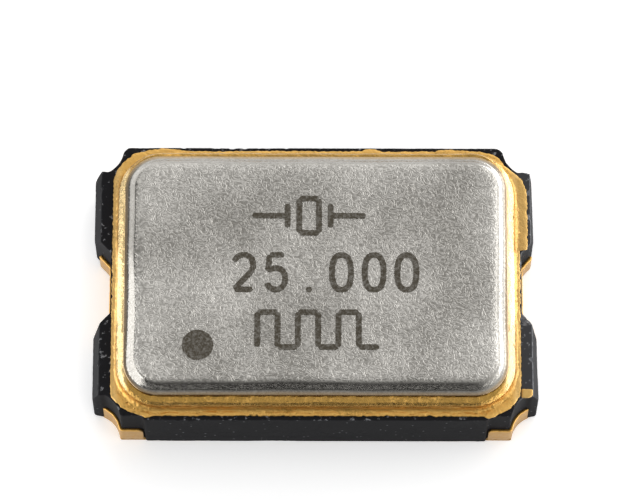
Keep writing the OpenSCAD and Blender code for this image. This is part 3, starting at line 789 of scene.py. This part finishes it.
def mixed(tree, factor, a, b):
    """Two colours mixed by a factor; each is a colour or a socket."""
    made = add(tree, "ShaderNodeMix", data_type="RGBA")
    for socket in made.inputs:
        if socket.type == "RGBA" or (socket.name == "Factor" and socket.type == "VALUE" and socket.enabled):
            value = {"Factor": factor, "A": a, "B": b}[socket.name]
            if isinstance(value, bpy.types.NodeSocket):
                tree.links.new(value, socket)
            else:
                socket.default_value = value if socket.type == "VALUE" else rgba(value)
    return [s for s in made.outputs if s.type == "RGBA"][0]


def laser_oxide(colours):
    """Laser mark in the nickel: an olive brown oxide in crosswise steps, with the lid's strokes
    still showing through. Half metal, half oxide, so rougher than the lid."""
    material, tree, place = blank("laser_oxide")
    strokes = tumbled_strokes(tree, place)
    passes = add(tree, "ShaderNodeTexNoise", {"Vector": place, "Scale": 30.0, "Detail": 1.0}).outputs["Fac"]
    tone = add(tree, "ShaderNodeMath", {0: strokes, 1: passes}, operation="MULTIPLY").outputs[0]
    factor = add(tree, "ShaderNodeMapRange", {0: tone, 1: 0.15, 2: 0.5, 3: 0.0, 4: 0.6}).outputs[0]
    base = mixed(tree, factor, colours.mark, colours.lid_dark_and_painted_shade)
    bump = add(tree, "ShaderNodeBump", {"Strength": 1.0, "Distance": 0.004 * MM, "Height": strokes})
    close(tree, Base_Color=base, Metallic=0.7, Roughness=0.45, Normal=bump.outputs[0])
    return material


def plated_gold(name, colours, pit, depth, rough, thin, reach, deep):
    """Gold plate over nickel: warm and bright on its high places, deeper in its pits. pit is the
    size of a pit in millimetres, as the fired film or the braze below leaves it. Beyond reach from
    the middle, on the short sides, the colour turns pale by the share thin: a painted highlight.
    deep moves the mixture to the deeper colour: painted shade where it is above nought, on the
    ring, and painted light where it is below, on the film and braze. The pores scatter some
    light, so it isn't all metallic."""
    material, tree, place = blank(name)
    pits = add(tree, "ShaderNodeTexNoise", {"Vector": place, "Scale": 1 / pit, "Detail": 3.0, "Roughness": 0.6})
    patches = add(tree, "ShaderNodeTexNoise", {"Vector": place, "Scale": 2.5, "Detail": 3.0}).outputs["Fac"]
    both = add(tree, "ShaderNodeMath", {0: pits.outputs["Fac"], 1: patches}, operation="ADD").outputs[0]
    # deep shifts the tone: painted shade where it is above nought, on the ring; painted light where it is below, on
    # the film and braze
    tone = add(tree, "ShaderNodeMapRange", {0: both, 1: 0.85 + deep, 2: 1.15 + deep}).outputs[0]
    base = mixed(tree, tone, colours.gold_deep_and_painted_shade, colours.gold)
    # Painted highlight: beyond reach, on the short sides, the colour turns pale by the share thin
    across = add(tree, "ShaderNodeSeparateXYZ", {0: place}).outputs["X"]
    across = add(tree, "ShaderNodeMath", {0: across}, operation="ABSOLUTE").outputs[0]
    rubbed = add(tree, "ShaderNodeMapRange", {0: across, 1: reach, 2: reach + 0.06, 3: 0.0, 4: thin}).outputs[0]
    base = mixed(tree, rubbed, base, colours.gold_painted_highlight)
    # Beyond 2.24 mm from the middle, on both short sides, the colour moves 0.45 of the way to the deep gold, which
    # tones the painted highlight down there
    ledge = add(tree, "ShaderNodeMapRange", {0: across, 1: 2.24, 2: 2.28, 3: 0.0, 4: 0.45}).outputs[0]
    base = mixed(tree, ledge, base, colours.gold_deep_and_painted_shade)
    bump = add(tree, "ShaderNodeBump", {"Strength": 1.0, "Distance": depth * MM, "Height": pits.outputs["Fac"]})
    close(tree, Base_Color=base, Metallic=0.85, Roughness=rough, Normal=bump.outputs[0])
    return material


def matte_gold(colours):
    """Gold flashed over printed and fired metal paste: matte and tan, with a fine grain; where the
    paste was trimmed at the film's top the gold is thicker and more orange."""
    material, tree, place = blank("matte_gold")
    grain = add(tree, "ShaderNodeTexNoise", {"Vector": place, "Scale": 30.0, "Detail": 3.0}).outputs["Fac"]
    height = add(tree, "ShaderNodeSeparateXYZ", {0: place}).outputs["Z"]
    lip = add(tree, "ShaderNodeMapRange", {0: height, 1: 0.335, 2: 0.35}).outputs[0]
    tone = add(tree, "ShaderNodeMapRange", {0: grain, 1: 0.3, 2: 0.7, 3: 0.0, 4: 0.12}).outputs[0]
    base = mixed(tree, tone, colours.terminal, colours.ceramic_speck_and_painted_light)
    base = mixed(tree, lip, base, colours.gold)
    bump = add(tree, "ShaderNodeBump", {"Strength": 0.8, "Distance": 0.003 * MM, "Height": grain})
    close(tree, Base_Color=base, Metallic=1.0, Roughness=0.5, Normal=bump.outputs[0])
    return material


def black_alumina(colours):
    """Black alumina, pressed as tape and fired: nearly matte, with grains of 2 to 5 microns drawn at
    about 12 so that they show, a few bright specks all over and pale chips at the rim."""
    material, tree, place = blank("black_alumina")
    grain = add(tree, "ShaderNodeTexNoise", {"Vector": place, "Scale": 60.0, "Detail": 2.0}).outputs["Fac"]
    speck = add(tree, "ShaderNodeTexVoronoi", {"Vector": place, "Scale": 9.0, "Randomness": 1.0}).outputs["Distance"]
    dot = add(tree, "ShaderNodeMapRange", {0: speck, 1: 0.13, 2: 0.05, 3: 0.0, 4: 0.2}).outputs[0]
    # Chips: a cut-off noise near the height of the rim
    spot = add(tree, "ShaderNodeSeparateXYZ", {0: place})
    rim_top = BASE_HIGH.z / MM
    rim = add(tree, "ShaderNodeMapRange", {0: spot.outputs["Z"], 1: rim_top - 0.05, 2: rim_top - 0.004}).outputs[0]
    flakes = add(tree, "ShaderNodeTexNoise", {"Vector": place, "Scale": 14.0, "Detail": 3.0, "Roughness": 0.7}).outputs["Fac"]
    chip = add(tree, "ShaderNodeMapRange", {0: flakes, 1: 0.6, 2: 0.68, 3: 0.0, 4: 0.35}).outputs[0]
    chip = add(tree, "ShaderNodeMath", {0: chip, 1: rim}, operation="MULTIPLY").outputs[0]
    pale = add(tree, "ShaderNodeMath", {0: dot, 1: chip}, operation="MAXIMUM").outputs[0]
    # Painted light on the right rim: the ledge is greyed, and its edge paler still, with breaks
    right = add(tree, "ShaderNodeMapRange", {0: spot.outputs["X"], 1: 2.2, 2: 2.3}).outputs[0]
    edge = add(tree, "ShaderNodeMapRange", {0: spot.outputs["Z"], 1: rim_top - 0.001, 2: rim_top - 0.006}).outputs[0]
    whole = add(tree, "ShaderNodeMapRange", {0: flakes, 1: 0.36, 2: 0.5, 3: 0.0, 4: 0.24}).outputs[0]
    edge = add(tree, "ShaderNodeMath", {0: edge, 1: whole, 2: 0.065}, operation="MULTIPLY_ADD").outputs[0]
    rubbed = add(tree, "ShaderNodeMath", {0: right, 1: rim}, operation="MULTIPLY").outputs[0]
    pale = add(tree, "ShaderNodeMath", {0: rubbed, 1: edge, 2: pale}, operation="MULTIPLY_ADD").outputs[0]
    base = mixed(tree, pale, colours.ceramic, colours.ceramic_speck_and_painted_light)
    bump = add(tree, "ShaderNodeBump", {"Strength": 0.6, "Distance": 0.002 * MM, "Height": grain})
    close(tree, Base_Color=base, Metallic=0.0, Roughness=0.6, Specular_IOR_Level=0.03, Normal=bump.outputs[0])
    return material


def plain_finish(name, shade, scale, spread, metallic, rough, **more):
    """A finish with a fine grain: its colour varies by spread, at scale grains to the millimetre."""
    material, tree, place = blank(name)
    grain = add(tree, "ShaderNodeTexNoise", {"Vector": place, "Scale": scale, "Detail": 3.0}).outputs["Fac"]
    darker = tuple(c * (1 - spread) for c in shade)
    base = mixed(tree, grain, darker, shade)
    bump = add(tree, "ShaderNodeBump", {"Strength": 0.5, "Distance": 0.002 * MM, "Height": grain})
    close(tree, Base_Color=base, Metallic=metallic, Roughness=rough, Normal=bump.outputs[0], **more)
    return material


def dress(material, *nodes):
    """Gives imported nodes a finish."""
    for name in nodes:
        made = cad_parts[name]
        made.data.materials.clear()
        made.data.materials.append(material)


# ---------------------------------------------------------------- operators


class OSCILLATOR_OT_ceramic(bpy.types.Operator):
    """Makes the fired ceramic tray with its notches, bevels and stepped inside"""

    bl_idname = "oscillator.ceramic"
    bl_label = "Ceramic tray"

    def execute(self, context):
        scene = context.scene
        piece(
            ceramic_mesh(scene.oscillator_sizes),
            black_alumina(scene.oscillator_colours),
            "black_ceramic",
            "ceramic_base",
        )
        return {"FINISHED"}


class OSCILLATOR_OT_terminals(bpy.types.Operator):
    """Makes the four corner terminals and the two films in the side notches"""

    bl_idname = "oscillator.terminals"
    bl_label = "Terminals"

    def execute(self, context):
        scene = context.scene
        matte = matte_gold(scene.oscillator_colours)
        for i, (x, y) in enumerate([(-1, -1), (1, -1), (1, 1), (-1, 1)], 1):
            mesh = terminal_mesh(scene.oscillator_sizes, x, y, 50 + 3 * i, 0.07 * MM if i == 3 else 0.0)
            mesh.name = f"terminal_{i}"
            piece(mesh, matte, "terminal_gold", f"corner_terminal_{i}")
        for name, side in (("left", -1), ("right", 1)):
            mesh = side_film_mesh(scene.oscillator_sizes, side, 70 + side)
            mesh.name = f"notch_film_{name}"
            piece(mesh, matte, "terminal_gold", f"side_terminal_{name}")
        return {"FINISHED"}


class OSCILLATOR_OT_seal(bpy.types.Operator):
    """Makes the gold film on the rim, the braze and the seal ring"""

    bl_idname = "oscillator.seal"
    bl_label = "Gold seal"

    def execute(self, context):
        scene = context.scene
        sizes, colours = scene.oscillator_sizes, scene.oscillator_colours
        edge = RING_HIGH.x / MM
        # The ring's finish is shifted darker, as painted shade, and the film's and braze's lighter, as painted light;
        # both are painted paler on the short sides as a highlight
        pitted = plated_gold("pitted_gold", colours, 0.034, 0.01, 0.34, 0.25, edge - 0.05, -0.22)
        satin = plated_gold("satin_gold", colours, 0.05, 0.02, 0.26, 0.75, edge - 0.14, 0.2)
        piece(film_mesh(sizes), pitted, "gold_plate", "seal_metallization")
        piece(braze_mesh(sizes), pitted, "gold_plate", "braze_fillet")
        piece(ring_mesh(sizes), satin, "gold_plate", "seal_ring")
        return {"FINISHED"}


class OSCILLATOR_OT_lid(bpy.types.Operator):
    """Makes the drawn and tumbled lid"""

    bl_idname = "oscillator.lid"
    bl_label = "Lid"

    def execute(self, context):
        scene = context.scene
        nickel = tumbled_nickel(scene.oscillator_colours)
        piece(lid_mesh(scene.oscillator_sizes), nickel, "nickel_lid", "lid")
        return {"FINISHED"}


class OSCILLATOR_OT_marks(bpy.types.Operator):
    """Makes the laser marks on the lid and the dot at terminal one"""

    bl_idname = "oscillator.marks"
    bl_label = "Laser marks"

    def execute(self, context):
        scene = context.scene
        oxide = laser_oxide(scene.oscillator_colours)
        for mesh in mark_meshes(scene.oscillator_sizes):
            piece(mesh, oxide, "nickel_lid")
        return {"FINISHED"}


class OSCILLATOR_OT_inside(bpy.types.Operator):
    """Gives the quartz blank, the chip and what holds and joins them their finishes"""

    bl_idname = "oscillator.inside"
    bl_label = "Inside"

    def execute(self, context):
        colours = context.scene.oscillator_colours
        quartz = plain_finish(
            "lapped_quartz", colours.quartz, 40.0, 0.1, 0.0, 0.25, IOR=1.544, Transmission_Weight=0.9
        )
        film = plain_finish("evaporated_gold", colours.gold, 50.0, 0.15, 1.0, 0.2)
        silver = plain_finish("silver_epoxy", colours.silver, 25.0, 0.5, 0.8, 0.5)
        silicon = plain_finish("polished_silicon", colours.silicon, 12.0, 0.35, 0.3, 0.2)
        dress(quartz, "quartz_blank")
        dress(film, "top_electrode", "bottom_electrode", "crystal_contact_1", "crystal_contact_2", "chip_contacts")
        dress(film, *[f"bond_pad_{i}" for i in range(1, 7)], *[f"bond_wire_{i}" for i in range(1, 7)])
        dress(silver, "adhesive_bead_1", "adhesive_bead_2", "die_attach")
        dress(silicon, "oscillator_chip")
        return {"FINISHED"}


class OSCILLATOR_OT_stage(bpy.types.Operator):
    """Makes the camera, the pale floor, the light tent and the two soft lamps"""

    bl_idname = "oscillator.stage"
    bl_label = "Stage"

    def execute(self, context):
        scene = context.scene
        scene.view_settings.view_transform = "Standard"
        self.camera(scene)
        self.world(scene)
        self.floor(scene)
        self.tent(scene)
        self.lamp(scene, "lamp_left", (-0.112, -0.034, 0.03), (0.12, 0.045), 3.2)
        self.lamp(scene, "lamp_right", (0.105, 0.045, 0.035), (0.1, 0.05), 2.0)
        self.card(scene, "black_card_front", (-14, 14), (-40, -3.3), 0.0)
        self.card(scene, "white_card_right", (3.0, 6.0), (-6, 8), 5.5)
        self.card(scene, "pale_card_right", (6.0, 22), (-8, 22), 2.2)
        self.card(scene, "white_card_left", (-7.5, -2.9), (-4, 0.8), 2.6, 3)
        self.card(scene, "pale_card_left", (-4.9, -2.9), (0.6, 8), 1.7)
        return {"FINISHED"}

    def camera(self, scene):
        # The photograph's view: 72.2 degrees above the floor from the front, through a long lens
        data = bpy.data.cameras.new("camera")
        data.sensor_width = 36.0
        data.lens = 277.2
        data.clip_start = 0.001
        data.clip_end = 10.0
        camera = bpy.data.objects.new("camera", data)
        scene.collection.objects.link(camera)
        high = math.radians(72.21)
        target = Vector((0, 0, 0.5 * MM))
        ahead = Vector((0, math.cos(high), -math.sin(high)))
        up = Vector((0, math.sin(high), math.cos(high)))
        camera.location = target - 54.23 * MM * ahead
        aim = ahead - 3.63 / 4812.6 * Vector((1, 0, 0)) + 43.08 / 4812.6 * up
        camera.rotation_euler = aim.to_track_quat("-Z", "Y").to_euler()
        scene.camera = camera

    def seen(self, tree):
        """One for the camera's rays and for those that metal and glass send on, zero for the others."""
        path = add(tree, "ShaderNodeLightPath")
        some = add(tree, "ShaderNodeMath", {0: path.outputs["Is Camera Ray"], 1: path.outputs["Is Glossy Ray"]}, operation="ADD")
        return add(
            tree,
            "ShaderNodeMath",
            {0: some.outputs[0], 1: path.outputs["Is Transmission Ray"]},
            operation="ADD",
            use_clamp=True,
        ).outputs[0]

    def world(self, scene):
        world = bpy.data.worlds.new("studio")
        world.use_nodes = True
        tree = world.node_tree
        tree.nodes.clear()
        strength = add(tree, "ShaderNodeMapRange", {0: self.seen(tree), 3: 0.7, 4: 1.0}).outputs[0]
        white = add(tree, "ShaderNodeBackground", {"Color": (1, 1, 1, 1), "Strength": strength})
        add(tree, "ShaderNodeOutputWorld", {"Surface": white.outputs[0]})
        scene.world = world

    def floor(self, scene):
        reach = np.linspace(0.02, 0.2, 6)[:, None]
        turn = np.linspace(0, 2 * np.pi, 64, endpoint=False)[None]
        grid = np.stack([reach * np.cos(turn), reach * np.sin(turn), 0 * reach * turn], -1)[::-1]
        mesh = surface("floor", grid, [[0, 0, -0.001], [0, 0, 0]])
        floor = bpy.data.objects.new("floor", mesh)
        scene.collection.objects.link(floor)
        # Matte white to the light that falls on it; what is seen of it is mostly its own white,
        # so that only the object's shadow shows
        material = bpy.data.materials.new("pale_floor")
        material.use_nodes = True
        tree = material.node_tree
        tree.nodes.clear()
        shade = rgba(scene.oscillator_colours.floor)
        seen = self.seen(tree)
        matte = add(tree, "ShaderNodeBsdfDiffuse", {"Color": shade})
        faint = add(tree, "ShaderNodeBsdfDiffuse", {"Color": (0.95, 0.95, 0.95, 1)})
        # The photograph's floor is washed out left and right of the object, where its lights come close
        place = add(tree, "ShaderNodeTexCoord").outputs["Object"]
        across = add(tree, "ShaderNodeSeparateXYZ", {0: place}).outputs["X"]
        across = add(tree, "ShaderNodeMath", {0: across}, operation="ABSOLUTE").outputs[0]
        white = {0: across, 1: 2.2 * MM, 2: 2.8 * MM, 3: 0.34, 4: 0.5}
        white = add(tree, "ShaderNodeMapRange", white).outputs[0]
        glow = add(tree, "ShaderNodeEmission", {"Color": (1, 1, 1, 1), "Strength": white})
        shown = add(tree, "ShaderNodeAddShader", {0: faint.outputs[0], 1: glow.outputs[0]})
        both = add(tree, "ShaderNodeMixShader", {"Fac": seen, 1: matte.outputs[0], 2: shown.outputs[0]})
        add(tree, "ShaderNodeOutputMaterial", {"Surface": both.outputs[0]})
        mesh.materials.append(material)

    def tent(self, scene):
        """A light tent: a half sphere whose cloth is brightest low behind and at the right, and
        darkens down to the front: 0.02 + 0.74 z + 1.35 y^3 + 1.25 x^1.7, of the direction's parts."""
        high = np.radians(np.linspace(1, 88, 30))[:, None]
        turn = np.linspace(0, 2 * np.pi, 64, endpoint=False)[None]
        grid = 0.19 * np.stack([np.cos(high) * np.cos(turn), np.cos(high) * np.sin(turn), np.sin(high) + 0 * turn], -1)
        mesh = bpy.data.meshes.new("light_tent")
        rows, columns = grid.shape[:2]
        number = np.arange(rows * columns).reshape(rows, columns)
        faces = np.stack([number[1:], np.roll(number[1:], -1, 1), np.roll(number[:-1], -1, 1), number[:-1]], -1)
        mesh.from_pydata(grid.reshape(-1, 3).tolist(), [], faces.reshape(-1, 4).tolist())
        tent = bpy.data.objects.new("light_tent", mesh)
        scene.collection.objects.link(tent)
        tent.visible_camera = False
        material, tree, place = blank("tent_cloth")
        way = add(tree, "ShaderNodeVectorMath", {0: place}, operation="NORMALIZE").outputs[0]
        parts = add(tree, "ShaderNodeSeparateXYZ", {0: way}).outputs
        strength = add(tree, "ShaderNodeMath", {0: parts["Z"], 1: 0.74, 2: 0.02}, operation="MULTIPLY_ADD").outputs[0]
        for part, power, share in (("Y", 3.0, 1.35), ("X", 1.7, 1.25)):
            positive = add(tree, "ShaderNodeMath", {0: parts[part], 1: 0.0}, operation="MAXIMUM").outputs[0]
            raised = add(tree, "ShaderNodeMath", {0: positive, 1: power}, operation="POWER").outputs[0]
            terms = {0: raised, 1: share, 2: strength}
            strength = add(tree, "ShaderNodeMath", terms, operation="MULTIPLY_ADD").outputs[0]
        glow = add(tree, "ShaderNodeEmission", {"Color": (1, 1, 1, 1), "Strength": strength})
        add(tree, "ShaderNodeOutputMaterial", {"Surface": glow.outputs[0]})
        mesh.materials.append(material)

    def card(self, scene, name, across, along, brightness, rise=0):
        """A card on the floor that only shows as a reflection in metal, as wide and long as given in
        millimetres, its left side raised by rise; brightness is that of its face, where 1 is white."""
        x, y = np.array(across) * MM, np.array(along) * MM
        mesh = bpy.data.meshes.new(name)
        low, high = 0.02 * MM, (0.02 + rise) * MM
        points = [(x[0], y[0], high), (x[1], y[0], low), (x[1], y[1], low), (x[0], y[1], high)]
        mesh.from_pydata(points, [], [(0, 1, 2, 3)])
        card = bpy.data.objects.new(name, mesh)
        scene.collection.objects.link(card)
        card.visible_camera = card.visible_diffuse = card.visible_shadow = False
        card.visible_transmission = False
        material = bpy.data.materials.new(name)
        material.use_nodes = True
        material.node_tree.nodes.clear()
        glow = add(material.node_tree, "ShaderNodeEmission", {"Color": (1, 1, 1, 1), "Strength": brightness})
        add(material.node_tree, "ShaderNodeOutputMaterial", {"Surface": glow.outputs[0]})
        mesh.materials.append(material)

    def lamp(self, scene, name, place, size, brightness):
        """A soft box that faces the object; brightness is that of its cloth, where 1 is white."""
        data = bpy.data.lights.new(name, "AREA")
        data.shape = "RECTANGLE"
        data.size, data.size_y = size
        data.energy = brightness * math.pi * size[0] * size[1]
        lamp = bpy.data.objects.new(name, data)
        scene.collection.objects.link(lamp)
        lamp.location = place
        lamp.rotation_euler = (-Vector(place)).to_track_quat("-Z", "Y").to_euler()


class OSCILLATOR_PT_panel(bpy.types.Panel):
    bl_idname = "OSCILLATOR_PT_panel"
    bl_label = "Crystal oscillator"
    bl_space_type = "VIEW_3D"
    bl_region_type = "UI"
    bl_category = "Oscillator"

    def draw(self, context):
        for group in (context.scene.oscillator_sizes, context.scene.oscillator_colours):
            box = self.layout.box()
            for name in group.__annotations__:
                box.prop(group, name)
        for operator in OPERATORS:
            self.layout.operator(operator.bl_idname)


OPERATORS = (
    OSCILLATOR_OT_stage,
    OSCILLATOR_OT_ceramic,
    OSCILLATOR_OT_terminals,
    OSCILLATOR_OT_seal,
    OSCILLATOR_OT_lid,
    OSCILLATOR_OT_marks,
    OSCILLATOR_OT_inside,
)
CLASSES = (OscillatorSizes, OscillatorColours, *OPERATORS, OSCILLATOR_PT_panel)


def register():
    for each in CLASSES:
        bpy.utils.register_class(each)
    bpy.types.Scene.oscillator_sizes = bpy.props.PointerProperty(type=OscillatorSizes)
    bpy.types.Scene.oscillator_colours = bpy.props.PointerProperty(type=OscillatorColours)


def unregister():
    del bpy.types.Scene.oscillator_sizes
    del bpy.types.Scene.oscillator_colours
    for each in reversed(CLASSES):
        bpy.utils.unregister_class(each)


def main():
    register()
    bpy.ops.oscillator.stage()
    bpy.ops.oscillator.ceramic()
    bpy.ops.oscillator.terminals()
    bpy.ops.oscillator.seal()
    bpy.ops.oscillator.lid()
    bpy.ops.oscillator.marks()
    bpy.ops.oscillator.inside()


if __name__ == "__main__":
    main()
